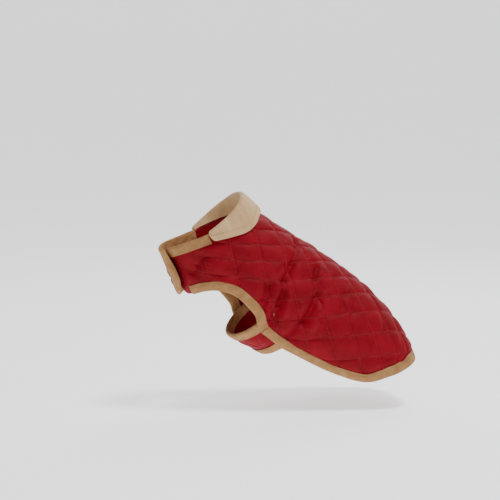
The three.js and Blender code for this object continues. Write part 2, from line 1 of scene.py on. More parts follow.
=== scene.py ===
"""Looks of the quilted dog winter coat: quilted shell, bound edges, brushed collar and belly strap.

The coat is worked out in millimetres, as its solids are, and turned into metres as each mesh is made.
Cloth coordinates: u runs along the back from the neck edge, v runs round from the back line, negative
on the near side. Heights h are measured out from the plain inner face of the cloth.
"""

import math

import bpy
import numpy as np
from mathutils import Matrix, Vector


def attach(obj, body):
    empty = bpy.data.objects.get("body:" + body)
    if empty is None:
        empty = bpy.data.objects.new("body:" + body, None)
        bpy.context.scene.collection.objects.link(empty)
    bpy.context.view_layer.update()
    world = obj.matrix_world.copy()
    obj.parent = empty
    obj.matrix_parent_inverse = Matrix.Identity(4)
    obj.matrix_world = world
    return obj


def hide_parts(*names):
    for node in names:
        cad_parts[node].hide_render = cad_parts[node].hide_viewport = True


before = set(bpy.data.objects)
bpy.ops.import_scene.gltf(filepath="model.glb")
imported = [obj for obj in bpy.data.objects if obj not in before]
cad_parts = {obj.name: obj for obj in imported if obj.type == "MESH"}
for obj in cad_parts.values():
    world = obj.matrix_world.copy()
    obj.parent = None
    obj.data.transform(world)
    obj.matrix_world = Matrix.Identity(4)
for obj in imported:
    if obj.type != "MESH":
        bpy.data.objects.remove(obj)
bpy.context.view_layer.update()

# Cloth and trim sizes in millimetres
WALL = 2.0
PUFF = 3.0
QUILT_PITCH = 30
CELL = QUILT_PITCH * math.sqrt(2) / 4
STITCH_PERIOD = 4 * CELL
GROOVE = 1.9
DOME = 0.38
SEAM_BAND = 0.0011
FINE = 6
BINDING_WIDTH = 12
FLAP_BINDING_WIDTH = 15
BINDING_CLOTH = 1.2
FOLD_ROOM = 0.6
SEAM_GAP = 0.3
COLLAR_CLOTH = 2.8
EDGE_STEP = 3.0
SLOPE_REACH = 1.5
UP_NECK = 6
RING_STEPS = 40
SNAP = 0.3

# Unevenness of the puffs: least and most fullness, lean, and the table that their draws come from
PUFF_LOW, PUFF_HIGH = 0.82, 1.08
PUFF_LEAN = 0.22
PUFF_TABLE, PUFF_FIRST = 120, 50

# Puckers along the stitching: height, wave length, distance from the line, reach, and their drift
PUCKER = 0.25
PUCKER_WAVE = 7.5
PUCKER_OFF, PUCKER_REACH = 3.2, 2.6
DRIFT, DRIFT_RUN = 0.6, 17
SEAM_TABLE, SEAM_FIRST = 240, 60

# Where puffs and creases fade out beside an edge, and the share of a dip that the inner face follows
PUFF_FADE = 7
PUFF_UNDER, STRAP_PUFF_UNDER = 3, 2
CREASE_FADE = 20
DIP_INSIDE = 0.75

# Sections of the figure: back line x, z, front line x, z, half width, fullness, sag
SECTIONS = np.array([
    [-60, 31, -187, -23, 50, 0.00, -0.25],
    [-10, -1, -157, -90, 68, 0.15, -0.05],
    [34, -28, -104, -152, 78, 0.15, 0.08],
    [81, -60, -37, -191, 84, 0.15, 0.12],
    [129, -101, 45, -233, 91, 0.15, 0.12],
    [170, -153, 122, -266, 92, 0.15, 0.10],
    [185, -199, 168, -283, 86, 0.15, 0.06],
], float)

# Edges of the panel in cloth coordinates
ARMHOLE = [(58, 219), (59, 200), (63, 185), (69, 177), (78, 172), (88, 172), (99, 175), (108, 179)]
STRAP_SEAM = [(108, 179), (117, 188), (126, 195)]
HEM = [(126, 195), (157, 199), (181, 197), (208, 193), (228, 186), (247, 176), (261, 163),
       (276, 141), (294, 117), (308, 93), (322, 65), (332, 34), (336, 0)]

# Ends of the chest flaps: u, and how far each reaches past the middle of the chest
FAR_FLAP_END = [(57, -36), (57, -21), (54, -2), (48, 11), (40, 17), (31, 17), (20, 14), (10, 10), (1, 6),
                (-4, 0), (-5, -18)]
NEAR_FLAP_END = [(0, -2), (4, 8), (14, 14), (30, 14), (44, 12), (54, 3), (58, -12), (58, -26)]
LAP_LIFT = 9.0
LAP_RUN = 60
LAP_FLAT = 66
LAP_FADE = 12

# Largest folds of each side: u0, v0, u1, v1, depth, width
FOLDS = np.array([
    [76, 34, 100, 112, 3.8, 8],
    [108, 126, 123, 171, 4.2, 8],
    [91, 130, 106, 167, 3.4, 7],
    [123, 66, 128, 82, 2.8, 7],
    [146, 92, 154, 178, 4.0, 9],
    [22, 152, 34, 184, 3.0, 8],
], float)

# Smaller creases, as the cloth shows them: u0, v0, u1, v1, depth, width; a negative depth is a ridge
CREASES = np.array([
    [76, 34, 92, 84, 2.2, 2.4],
    [92, 84, 100, 114, 4.0, 2.9],
    [86, 38, 101, 82, -2.0, 4.2],
    [66, 58, 88, 108, -1.3, 5.0],
    [104, 88, 110, 120, -1.3, 4.0],
    [108, 124, 117, 150, 4.2, 2.9],
    [117, 150, 125, 178, 2.8, 2.8],
    [118, 126, 132, 164, -2.6, 4.2],
    [91, 130, 107, 166, 3.8, 2.9],
    [99, 122, 111, 150, -2.0, 3.6],
    [82, 138, 96, 170, -1.1, 4.2],
    [123, 62, 129, 86, 3.2, 2.6],
    [131, 60, 138, 88, -1.3, 3.8],
    [138, 84, 150, 124, 1.5, 2.4],
    [146, 100, 154, 150, 4.2, 3.1],
    [154, 150, 152, 182, 3.6, 3.0],
    [158, 102, 166, 152, -2.6, 4.4],
    [138, 128, 145, 172, -1.3, 4.6],
    [170, 60, 182, 104, 1.2, 3.2],
    [177, 62, 189, 100, -0.8, 3.8],
    [168, 128, 176, 172, 1.3, 3.2],
    [192, 84, 206, 124, 1.2, 3.2],
    [206, 130, 216, 168, 1.2, 3.2],
    [232, 58, 248, 96, 1.1, 3.4],
    [226, 104, 243, 146, 1.2, 3.2],
    [262, 44, 280, 84, 1.1, 3.4],
    [284, 20, 300, 58, 1.0, 3.6],
    [46, 116, 60, 150, 1.4, 3.0],
    [34, 124, 46, 168, -1.2, 4.6],
    [20, 148, 28, 170, 1.7, 2.4],
    [28, 170, 36, 190, 1.4, 2.6],
    [30, 146, 40, 176, -1.1, 3.8],
    [52, 20, 66, 52, 1.1, 3.2],
    [150, 14, 166, 48, 1.1, 3.6],
    [198, 20, 212, 50, 1.0, 3.6],
], float)

# Collar from the middle of the back: v, roll_up, roll_out, roll_half, edge_down, edge_out
COLLAR = np.array([
    [0, 27, 12, 2.6, 7, 8.0],
    [30, 25, 12, 2.6, 9, 7.8],
    [50, 20, 11.5, 2.6, 16, 7.2],
    [64, 15.5, 11, 2.6, 18, 7.0],
    [80, 10.5, 9.5, 2.5, 15, 6.8],
    [96, 6, 7.5, 2.3, 12, 6.6],
    [107, 3, 6.5, 2.0, 10, 6.4],
    [112, 1.5, 6, 1.9, 9, 6.4],
], float)
COLLAR_END_V = 112
STAND_LEAN = 0.9

# Belly strap
STRAP_FRONT_U, STRAP_REAR_U = 118, 160
STRAP_NEAR_V, STRAP_FAR_V = 158, 142
STRAP_PUFF = 1.8
STRAP_UNDER, SEWN_UNDER, FASTENED_UNDER = 6.4, 4.2, 8.4
SEWN_END, SEWN_FADE, FASTENED_END, FASTENED_FADE = 22, 10, 56, 14
FLAT_NEAR, FLAT_FAR, FLAT_FADE = 34, 60, 10

CHEST_PATCH = (16, 36, -15, -5)
STRAP_PATCH = (132, 146, 150, 182)
PATCH_CLOTH = 2.2

# Camera: 15 degrees to the front of a side view, 5 degrees above the level, 1.5 mm for each pixel
AZIMUTH, ELEVATION = math.radians(-15), math.radians(5)
DISTANCE = 2500
MM_PER_PIXEL = 1.5
ORIGIN_PIXEL = (289.6, 230.7)
IMAGE = 500
FLOOR_Z = -262

rng = np.random.default_rng(7)


# The figure and the cloth on it

def smoothstep(x):
    t = np.clip(x, 0.0, 1.0)
    return t * t * (3 - 2 * t)


def catmull(p0, p1, p2, p3, t):
    return 0.5 * (2 * p1 + (p2 - p0) * t + (2 * p0 - 5 * p1 + 4 * p2 - p3) * t**2
                  + (3 * p1 - p0 - 3 * p2 + p3) * t**3)


def blend_rows(rows, k, t):
    """Rows of a table at places k + t, smooth through every row."""
    last = len(rows) - 1
    p1, p2 = rows[k], rows[k + 1]
    before = np.where((k > 0)[:, None], rows[np.maximum(k - 1, 0)], 2 * p1 - p2)
    after = np.where((k + 2 <= last)[:, None], rows[np.minimum(k + 2, last)], 2 * p2 - p1)
    return catmull(before, p1, p2, after, t[:, None])


STATION_U = np.concatenate([[0], np.cumsum(np.hypot(*np.diff(SECTIONS[:, :2], axis=0).T))])


def sections_at(u):
    k = np.clip(np.searchsorted(STATION_U, u, "left") - 1, 0, len(SECTIONS) - 2)
    return blend_rows(SECTIONS, k, (u - STATION_U[k]) / (STATION_U[k + 1] - STATION_U[k]))


def oval_points(section, angle):
    back_x, back_z, front_x, front_z, half, fullness, sag = np.moveaxis(section, -1, 0)
    c, s = np.cos(angle), np.sin(angle)
    side = half * s * (1 + fullness * c * c - sag * c)
    x = (back_x + front_x + (back_x - front_x) * c) / 2
    z = (back_z + front_z + (back_z - front_z) * c) / 2
    return np.stack([x, side, z], -1)


def ring_lengths(section):
    angles = np.linspace(0, math.pi, RING_STEPS + 1)
    points = oval_points(section[:, None, :], angles[None, :])
    hops = np.linalg.norm(np.diff(points, axis=1), axis=2)
    return np.concatenate([np.zeros((len(section), 1)), np.cumsum(hops, axis=1)], axis=1)


def half_girth(u):
    u = np.atleast_1d(np.asarray(u, float))
    return ring_lengths(sections_at(np.maximum(u, 0)))[:, -1]


def figure_on_rings(u, v):
    section = sections_at(u)
    lengths = ring_lengths(section)
    half = lengths[:, -1]
    beyond = np.abs(v) > half
    along = np.where(beyond, 2 * half - np.abs(v), np.abs(v))
    k = np.clip((lengths < along[:, None]).sum(1) - 1, 0, RING_STEPS - 1)
    rows = np.arange(len(u))
    t = (along - lengths[rows, k]) / (lengths[rows, k + 1] - lengths[rows, k])
    points = oval_points(section, math.pi * (k + t) / RING_STEPS)
    points[(v < 0) != beyond, 1] *= -1
    return points


def figure_points(u, v, chunk=20000):
    u, v = np.broadcast_arrays(np.asarray(u, float), np.asarray(v, float))
    out = np.empty((len(u), 3))
    for start in range(0, len(u), chunk):
        part = slice(start, start + chunk)
        pu, pv = u[part], v[part]
        points = figure_on_rings(np.maximum(pu, 0), pv)
        over = pu < 0
        if over.any():
            slope = figure_on_rings(np.full(over.sum(), float(UP_NECK)), pv[over]) - points[over]
            points[over] += slope * (pu[over] / UP_NECK)[:, None]
        out[part] = points
    return out


def slopes(u, v):
    e = SLOPE_REACH
    along = (figure_points(u + e, v) - figure_points(u - e, v)) / (2 * e)
    around = (figure_points(u, v + e) - figure_points(u, v - e)) / (2 * e)
    return along, around


def outward(u, v):
    normal = np.cross(*slopes(u, v))
    return normal / np.linalg.norm(normal, axis=1, keepdims=True)


def trough_depth(table, u, v):
    around = np.minimum(np.abs(v), 2 * half_girth(u) - np.abs(v))
    depth = np.zeros(len(u))
    for u0, v0, u1, v1, deep, width in table:
        du, dv = u1 - u0, v1 - v0
        t = np.clip(((u - u0) * du + (around - v0) * dv) / (du * du + dv * dv), 0, 1)
        gap = np.hypot(u - u0 - t * du, around - v0 - t * dv) / width
        depth += deep * np.exp(-gap * gap)
    return depth


def cloth_points(u, v, h):
    """Points h outside the plain inner face of the cloth, in millimetres."""
    u, v = np.asarray(u, float), np.asarray(v, float)
    lift = LAP_LIFT * smoothstep((v - half_girth(u) + LAP_RUN) / LAP_RUN)
    return figure_points(u, v) + outward(u, v) * (h + lift - trough_depth(FOLDS, u, v))[:, None]


# Edge curves

def smooth_curve(rows, step):
    rows = np.asarray(rows, float)
    per = 12
    k = np.repeat(np.arange(len(rows) - 1), per)
    t = np.tile(np.arange(per) / per, len(rows) - 1)
    fine = np.vstack([blend_rows(rows, k, t), rows[-1]])
    travel = np.concatenate([[0], np.cumsum(np.hypot(*np.diff(fine, axis=0).T))])
    count = max(1, round(travel[-1] / step))
    want = np.linspace(0, travel[-1], count + 1)
    return np.column_stack([np.interp(want, travel, fine[:, 0]), np.interp(want, travel, fine[:, 1])])


def near_side(rows):
    return [(u, -v) for u, v in rows]


def from_chest(rows, side):
    half = half_girth([u for u, _ in rows])
    return [(u, side * (h + past)) for (u, past), h in zip(rows, half)]


near_flap_rows = from_chest(NEAR_FLAP_END, -1)
far_flap_rows = from_chest(FAR_FLAP_END, 1)
edges = {
    "near_flap": smooth_curve(near_flap_rows, EDGE_STEP),
    "near_armhole": smooth_curve([near_flap_rows[-1]] + near_side(ARMHOLE[1:] + STRAP_SEAM[1:]), EDGE_STEP),
    "hem": smooth_curve(near_side(HEM) + HEM[:-1][::-1], EDGE_STEP),
    "far_armhole": smooth_curve((ARMHOLE[1:] + STRAP_SEAM[1:])[::-1] + [far_flap_rows[0]], EDGE_STEP),
    "far_flap": smooth_curve(far_flap_rows, EDGE_STEP),
    "far_neck": smooth_curve([far_flap_rows[-1], (0, COLLAR_END_V)], EDGE_STEP),
    "neck": smooth_curve([(0, COLLAR_END_V), (0, 0), (0, -COLLAR_END_V)], EDGE_STEP),
    "near_neck": smooth_curve([(0, -COLLAR_END_V), near_flap_rows[0]], EDGE_STEP),
}
panel_outline = np.vstack([curve[:-1] for curve in edges.values()])

# The edge from the near flap round the hem to the collar on the far side, bound in five runs
BOUND = ("near_armhole", "hem", "far_armhole", "far_flap", "far_neck")
bound_edge = np.vstack([edges[name][:-1] for name in BOUND] + [edges[BOUND[-1]][-1:]])
run_ends = np.concatenate([[0], np.cumsum([len(edges[name]) - 1 for name in BOUND])])

BELLY_V = float(half_girth((STRAP_FRONT_U + STRAP_REAR_U) / 2)[0])
STRAP_START = -STRAP_NEAR_V
STRAP_END = -2 * BELLY_V + STRAP_FAR_V
strap_front = smooth_curve([(STRAP_FRONT_U, STRAP_START), (STRAP_FRONT_U, STRAP_END)], EDGE_STEP)
strap_rear = smooth_curve([(STRAP_REAR_U, STRAP_END), (STRAP_REAR_U, STRAP_START)], EDGE_STEP)
strap_outline = np.vstack([strap_front, strap_rear])


def strap_base(v):
    sewn = smoothstep((v - STRAP_START + SEWN_END) / SEWN_FADE)
    fastened = smoothstep((STRAP_END + FASTENED_END - v) / FASTENED_FADE)
    return (STRAP_UNDER - SEWN_UNDER) * sewn - (FASTENED_UNDER - STRAP_UNDER) * fastened - STRAP_UNDER


def smooth_noise(length, size):
    """A wandering value of about -1 to 1, with a fresh draw every size places."""
    knots = rng.uniform(-1, 1, max(4, int(length / size) + 4))
    place = np.arange(length) / size
    k = place.astype(int)
    t = smoothstep(place - k)
    return knots[k] * (1 - t) + knots[k + 1] * t


# Meshes

def mesh_piece(name, points, faces, uv):
    """A piece from points in millimetres, with cloth coordinates as its UV map, in metres."""
    mesh = bpy.data.meshes.new(name)
    mesh.from_pydata((np.asarray(points) / 1000).tolist(), [], [list(map(int, f)) for f in faces])
    layer = mesh.uv_layers.new(name="cloth")
    corner = np.empty(len(mesh.loops), dtype=np.int32)
    mesh.loops.foreach_get("vertex_index", corner)
    layer.data.foreach_set("uv", (np.asarray(uv)[corner] / 1000).astype(np.float32).ravel())
    mesh.polygons.foreach_set("use_smooth", [True] * len(mesh.polygons))
    mesh.update()
    piece = bpy.data.objects.new(name, mesh)
    bpy.context.scene.collection.objects.link(piece)
    return piece


def turned_out(points, faces):
    """The faces, all turned over if they point inwards."""
    corners = np.asarray(points)[np.asarray([f[:3] for f in faces])]
    volume = np.einsum("ij,ij->i", corners[:, 0], np.cross(corners[:, 1], corners[:, 2])).sum()
    return [f[::-1] for f in faces] if volume < 0 else faces


def nearest_on_outline(outline, u, v):
    """Nearest point of a closed outline, and the distance inside it."""
    a = outline
    b = np.roll(outline, -1, axis=0)
    d = b - a
    best = np.full(len(u), np.inf)
    place = np.zeros((len(u), 2))
    inside = np.zeros(len(u), bool)
    for (au, av), (_, bv), (du, dv) in zip(a, b, d):
        t = np.clip(((u - au) * du + (v - av) * dv) / (du * du + dv * dv), 0, 1)
        qu, qv = au + du * t, av + dv * t
        gap = np.hypot(u - qu, v - qv)
        closer = gap < best
        best[closer] = gap[closer]
        place[closer, 0], place[closer, 1] = qu[closer], qv[closer]
        crosses = (av > v) != (bv > v)
        if crosses.any():
            inside ^= crosses & (u < au + du * (v - av) / (dv if dv else 1.0))
    return place, np.where(inside, best, -best)


def fine_lattice(outline, cell):
    """Flat triangles over an outline, whose diagonals follow the stitch lines."""
    i0, j0 = np.floor(outline.min(0) / cell).astype(int) - 1
    i1, j1 = np.ceil(outline.max(0) / cell).astype(int) + 1
    grid_i, grid_j = np.meshgrid(np.arange(i0, i1 + 1), np.arange(j0, j1 + 1), indexing="ij")
    shape = grid_i.shape
    u, v = grid_i.ravel() * cell, grid_j.ravel() * cell
    place, inside = nearest_on_outline(outline, u, v)
    snapped = np.abs(inside) < SNAP * cell
    uv = np.column_stack([u, v]).astype(float)
    uv[snapped] = place[snapped]
    inside[snapped] = 0
    index = np.arange(len(u)).reshape(shape)
    a, b = index[:-1, :-1].ravel(), index[1:, :-1].ravel()
    c, d = index[1:, 1:].ravel(), index[:-1, 1:].ravel()
    even = ((grid_i - grid_j)[:-1, :-1].ravel() % 2) == 0
    corners = np.vstack([
        np.column_stack([a, b, c])[even], np.column_stack([a, c, d])[even],
        np.column_stack([a, b, d])[~even], np.column_stack([b, c, d])[~even],
    ])
    corners = corners[(inside[corners] > 0).any(1)]
    points = list(map(tuple, uv))
    depth = list(inside)
    cuts = {}
    triangles = []

    def cut(p, q):
        key = (min(p, q), max(p, q))
        if key not in cuts:
            t = depth[p] / (depth[p] - depth[q])
            cuts[key] = len(points)
            points.append(tuple(np.asarray(points[p]) * (1 - t) + np.asarray(points[q]) * t))
            depth.append(0.0)
        return cuts[key]

    for tri in corners.tolist():
        if min(depth[k] for k in tri) >= 0:
            triangles.append(tri)
            continue
        polygon = []
        for k in range(3):
            p, q = tri[k], tri[(k + 1) % 3]
            if depth[p] >= 0:
                polygon.append(p)
            if depth[p] * depth[q] < 0:
                polygon.append(cut(p, q))
        for k in range(1, len(polygon) - 1):
            triangles.append([polygon[0], polygon[k], polygon[k + 1]])
    triangles = np.asarray(triangles)
    used, renumbered = np.unique(triangles, return_inverse=True)
    return np.asarray(points)[used], np.asarray(depth)[used], renumbered.reshape(-1, 3)


def walled(uv, triangles, outer_h, inner_h):
    """Two skins over the same flat triangles, joined round the edge."""
    count = len(uv)
    points = np.vstack([cloth_points(uv[:, 0], uv[:, 1], h) for h in (outer_h, inner_h)])
    sides = np.vstack([triangles[:, [0, 1]], triangles[:, [1, 2]], triangles[:, [2, 0]]])
    present = set(map(tuple, sides.tolist()))
    border = [(p, q) for p, q in sides.tolist() if (q, p) not in present]
    faces = triangles.tolist() + (triangles[:, ::-1] + count).tolist()
    faces += [[q, p, p + count, q + count] for p, q in border]
    return points, turned_out(points, faces)


def quilt_parts(uv):
    """How far up its puff each place is, from 0 on a stitch line to 1, and the puff it lies in."""
    plus, minus = uv[:, 0] + uv[:, 1], uv[:, 0] - uv[:, 1]
    first = np.abs(np.sin(math.pi * plus / STITCH_PERIOD))
    second = np.abs(np.sin(math.pi * minus / STITCH_PERIOD))
    cell = tuple(np.floor(across / STITCH_PERIOD).astype(int) + PUFF_FIRST for across in (plus, minus))
    return plus, minus, first, second, cell


def quilt_swell(plus, minus, first, second):
    """Share of a puff's height: steep beside the stitch lines, and low and round between them."""
    sides = []
    for across in (plus, minus):
        reach = np.abs(across - np.round(across / STITCH_PERIOD) * STITCH_PERIOD) / math.sqrt(2)
        sides.append(1 - np.exp(-reach / GROOVE))
    return (1 - DOME) * sides[0] * sides[1] + DOME * first * second


def quilted_height(uv, inside, height, keep):
    """Height of the quilting over a plain cloth: uneven puffs, puckers along the stitching, creases."""
    plus, minus, first, second, cell = quilt_parts(uv)
    fullness = rng.uniform(PUFF_LOW, PUFF_HIGH, (PUFF_TABLE, PUFF_TABLE))[cell]
    lean = rng.uniform(-PUFF_LEAN, PUFF_LEAN, (PUFF_TABLE, PUFF_TABLE))[cell]
    swell = quilt_swell(plus, minus, first, second)
    tilt = 1 + lean * np.cos(math.pi * plus / STITCH_PERIOD * 2)
    puff = height * swell * fullness * tilt
    pucker = np.zeros(len(uv))
    phases = rng.uniform(0, 2 * math.pi, (2, SEAM_TABLE))
    root = math.sqrt(2)
    for across, along, phase in ((plus, minus, phases[0]), (minus, plus, phases[1])):
        number = np.round(across / STITCH_PERIOD).astype(int) + SEAM_FIRST
        reach = np.abs(across - np.round(across / STITCH_PERIOD) * STITCH_PERIOD) / root
        drift = DRIFT * np.sin(along / DRIFT_RUN)
        wave = np.sin(2 * math.pi * along / root / PUCKER_WAVE + phase[number] + drift)
        pucker += wave * np.exp(-((reach - PUCKER_OFF) / PUCKER_REACH) ** 2)
    fade = smoothstep((inside - BINDING_WIDTH + PUFF_UNDER) / PUFF_FADE) * keep
    crease = trough_depth(CREASES, uv[:, 0], uv[:, 1])
    return (puff + PUCKER * pucker) * fade - crease * smoothstep(inside / CREASE_FADE)


def cut_area(uv, triangles):
    """Area of the plain cloth before it was quilted and creased, in square metres."""
    corners = cloth_points(uv[:, 0], uv[:, 1], WALL / 2)[triangles]
    doubled = np.cross(corners[:, 1] - corners[:, 0], corners[:, 2] - corners[:, 0])
    return np.linalg.norm(doubled, axis=1).sum() / 2e6


def quilted_shell():
    uv, inside, triangles = fine_lattice(panel_outline, CELL / FINE)
    half = half_girth(uv[:, 0])
    lapped = smoothstep((LAP_FLAT - uv[:, 1] - half) / LAP_FADE)
    height = quilted_height(uv, inside, PUFF, 1 - lapped)
    points, faces = walled(uv, triangles, WALL + height, DIP_INSIDE * np.minimum(height, 0))
    return mesh_piece("shell_quilted", points, faces, np.vstack([uv, uv])), cut_area(uv, triangles)


def quilted_strap():
    uv, inside, triangles = fine_lattice(strap_outline, CELL / FINE)
    base = strap_base(uv[:, 1])
    keep = (smoothstep((STRAP_START - FLAT_NEAR - uv[:, 1]) / FLAT_FADE)
            * smoothstep((uv[:, 1] - STRAP_END - FLAT_FAR) / FLAT_FADE))
    plus, minus, first, second, _ = quilt_parts(uv)
    height = STRAP_PUFF * quilt_swell(plus, minus, first, second)
    height *= smoothstep((inside - BINDING_WIDTH + STRAP_PUFF_UNDER) / PUFF_FADE) * keep
    points, faces = walled(uv, triangles, base + WALL + height, base)
    return mesh_piece("strap_quilted", points, faces, np.vstack([uv, uv]))


def loft(name, sections):
    """Closed cross-sections of (u, v, h) lofted into one piece, its ends drawn together."""
    sections = np.asarray(sections, float)
    count, size = sections.shape[:2]
    flat = sections.reshape(-1, 3)
    points = cloth_points(flat[:, 0], flat[:, 1], flat[:, 2])
    rows = points.reshape(count, size, 3)
    faces = []
    for s in range(count - 1):
        for k in range(size):
            a, b = s * size + k, s * size + (k + 1) % size
            faces.append([a, b, b + size, a + size])
    faces.append(list(range(size))[::-1])
    faces.append(list(range((count - 1) * size, count * size)))
    ring = np.concatenate([[0], np.cumsum(np.linalg.norm(np.diff(rows[0], axis=0), axis=1))])
    hops = np.linalg.norm(np.diff(rows.mean(1), axis=0), axis=1)
    run = np.concatenate([[0], np.cumsum(hops)])
    uv = np.stack(np.meshgrid(run, ring, indexing="ij"), -1).reshape(-1, 2)
    return mesh_piece(name, points, turned_out(points, faces), uv)


def edge_frame(samples):
    """Directions of one true millimetre along and square to an edge, in cloth coordinates."""
    run = np.vstack([samples[1] - samples[0], samples[2:] - samples[:-2], samples[-1] - samples[-2]])
    along, around = slopes(samples[:, 0], samples[:, 1])
    aa, bb = (along**2).sum(1), (around**2).sum(1)
    ab = (along * around).sum(1)
    into = np.column_stack([-(ab * run[:, 0] + bb * run[:, 1]), aa * run[:, 0] + ab * run[:, 1]])

    def per_mm(d):
        return d / np.linalg.norm(along * d[:, :1] + around * d[:, 1:], axis=1, keepdims=True)
    return per_mm(run), per_mm(into)


def edge_run(samples, first=0, last=None):
    last = len(samples) - 1 if last is None else last
    onward, inward = edge_frame(samples)
    line = samples[first:last + 1].copy()
    line[0] += onward[first] * SEAM_GAP
    line[-1] -= onward[last] * SEAM_GAP
    return line, inward[first:last + 1]


# Bindings: facets of the nose, its reach past the edge, and how far in the seam lies
NOSE_STEPS = 7
NOSE_START, NOSE_REACH = 0.5, 2.7
STITCH_IN = 2.4
SEAM_DEPTH = 0.62
TAPE_UNEVEN, TAPE_LIFT = 0.35, 0.22


def binding_section(width, base, rise):
    """Tape folded over an edge as (t into the cloth, h): inner faces, turned-in edges, dome and nose."""
    over, under = base + WALL + FOLD_ROOM, base - FOLD_ROOM
    mid, c = (over + under) / 2, BINDING_CLOTH
    outer = [
        (width + 0.25, 0.35 * c), (width - 0.1, 0.85 * c), (width - 0.9, c + 0.1),
        (width - STITCH_IN, SEAM_DEPTH * c), (width - STITCH_IN - 1.5, c + 0.1),
        (width * 0.5, c + 0.3 + rise), (width * 0.22, c + 0.22 + rise),
    ]
    angles = np.linspace(math.pi / 2, -math.pi / 2, NOSE_STEPS)
    half = over - mid + c + 0.1
    nose = [(NOSE_START - NOSE_REACH * math.cos(a), mid + half * math.sin(a)) for a in angles]
    top = [(t, over + h) for t, h in outer]
    bottom = [(t, under - h) for t, h in outer[::-1]]
    channel = [(width, under), (-FOLD_ROOM, under), (-FOLD_ROOM, over), (width, over)]
    return top + nose + bottom + channel


def binding(name, run, width=BINDING_WIDTH, base_at=None):
    line, inward = run
    count = len(line)
    widths = width + TAPE_UNEVEN * smooth_noise(count, 5)
    rises = TAPE_LIFT * smooth_noise(count, 3)
    bases = np.zeros(count) if base_at is None else base_at(line[:, 1])
    sections = []
    for place, into, width, base, rise in zip(line, inward, widths, bases, rises):
        flat = binding_section(width, base, rise)
        sections.append([(place[0] + into[0] * t, place[1] + into[1] * t, h) for t, h in flat])
    seam = np.column_stack([line + inward * (widths - STITCH_IN)[:, None],
                            bases + WALL + FOLD_ROOM + SEAM_DEPTH * BINDING_CLOTH])
    return loft(name, sections), seam


# Collar: distance of its seam from the free edge, depth and width of that seam, rise of the rim, size
# of its slow waves, radius of its front corners, and sections round and points across
COLLAR_RIM = 8.0
COLLAR_GROOVE, COLLAR_GROOVE_HALF = 1.25, 1.5
COLLAR_RISE = 0.6
COLLAR_WAVE = 0.5
COLLAR_CORNER = 7
COLLAR_SECTIONS, COLLAR_ACROSS = 121, 33


def collar_piece():
    """Collar of brushed cloth: stand, roll and fall, with a stitched rim and rounded front ends."""
    end_v = COLLAR_END_V - 4 * SEAM_GAP
    across = np.linspace(-1, 1, COLLAR_SECTIONS)
    vs = end_v * np.sin(across * math.pi / 2) * 0.35 + end_v * across * 0.65
    side = np.abs(vs)
    k = np.clip(np.searchsorted(COLLAR[:, 0], side, "left") - 1, 0, len(COLLAR) - 2)
    rows = blend_rows(COLLAR, k, (side - COLLAR[k, 0]) / (COLLAR[k + 1, 0] - COLLAR[k, 0]))
    _, inward = edge_frame(np.column_stack([np.zeros(len(vs)), vs[::-1]]))
    inward = inward[::-1]
    waves = COLLAR_WAVE * smooth_noise(len(vs), 9)
    corner = np.sqrt(np.clip(1 - ((side - end_v + COLLAR_CORNER) / COLLAR_CORNER).clip(0, 1) ** 2, 0, 1))
    sections, seam, depths = [], [], []
    for v, row, into, wave, round_off in zip(vs, rows, inward, waves, corner):
        _, up, out, half, down, edge_out = row
        foot, stand, fall = WALL / 2, out - half, out + half
        down = up - (up + down) * (0.35 + 0.65 * round_off)
        guide = np.array([
            (SEAM_GAP + STAND_LEAN, foot), (up * 0.5, foot + (stand - foot) * 0.45), (up, stand),
            (up + half, out), (up, fall), ((up + down) * 0.45, (fall + edge_out) / 2 + 0.6 + wave),
            (down, edge_out + wave),
        ])
        place = np.linspace(0, len(guide) - 1.0001, COLLAR_ACROSS)
        line = blend_rows(guide, place.astype(int), place - place.astype(int))
        step = np.gradient(line, axis=0)
        normal = np.column_stack([-step[:, 1], step[:, 0]]) / np.linalg.norm(step, axis=1, keepdims=True)
        travel = np.concatenate([[0], np.cumsum(np.hypot(*np.diff(line, axis=0).T))])
        to_edge = travel[-1] - travel
        depths.append(travel[-1])
        thick = COLLAR_CLOTH / 2 * (0.45 + 0.55 * round_off)
        groove = COLLAR_GROOVE * np.exp(-((to_edge - COLLAR_RIM) / COLLAR_GROOVE_HALF) ** 2)
        rim = COLLAR_RISE * smoothstep(to_edge / 2.5) * smoothstep((COLLAR_RIM - to_edge) / 2)
        shown = line - normal * (thick + rim - groove)[:, None]
        hidden = line + normal * thick
        onward = step[-1] / np.hypot(*step[-1]) * thick
        tip = [line[-1] + onward * math.cos(a) - normal[-1] * thick * math.sin(a)
               for a in np.linspace(-math.pi / 2, math.pi / 2, 6)[1:-1]]
        flat = list(hidden) + tip + list(shown[::-1])
        sections.append([(-into[0] * a, v - into[1] * a, b) for a, b in flat])
        at = np.array([np.interp(travel[-1] - COLLAR_RIM, travel, shown[:, n]) for n in (0, 1)])
        seam.append((-into[0] * at[0], v - into[1] * at[0], at[1]))
    depths = np.asarray(depths)
    area = ((depths[1:] + depths[:-1]) / 2 * np.abs(np.diff(vs))).sum() / 1e6
    return loft("collar_brushed", sections), np.asarray(seam)[6:-6], depths.max() / 1000, area


def rounded(share, power):
    """1 in the middle of a slab's width and 0 at its two edges, rounder for a lower power."""
    return math.sqrt(max(0.0, 1 - (2 * share - 1) ** power))


def patch_piece(name, u0, u1, v_at, h):
    """Slab of hook-and-loop tape with rounded edges."""
    steps, length_steps = 12, 20
    edge, bottom_rise = 0.55, 0.02
    us = np.linspace(u0, u1, steps + 1)
    sections = []
    for s in np.linspace(0, 1, length_steps + 1):
        ends = rounded(s, 16)
        top = [(u, h + PATCH_CLOTH * (edge + (1 - edge) * ends * rounded(k / steps, 12)))
               for k, u in enumerate(us)]
        bottom = [(u, h + PATCH_CLOTH * bottom_rise) for u in us]
        flat = bottom + top[::-1]
        sections.append([(u, float(v_at(u, s)), out) for u, out in flat])
    return loft(name, sections)


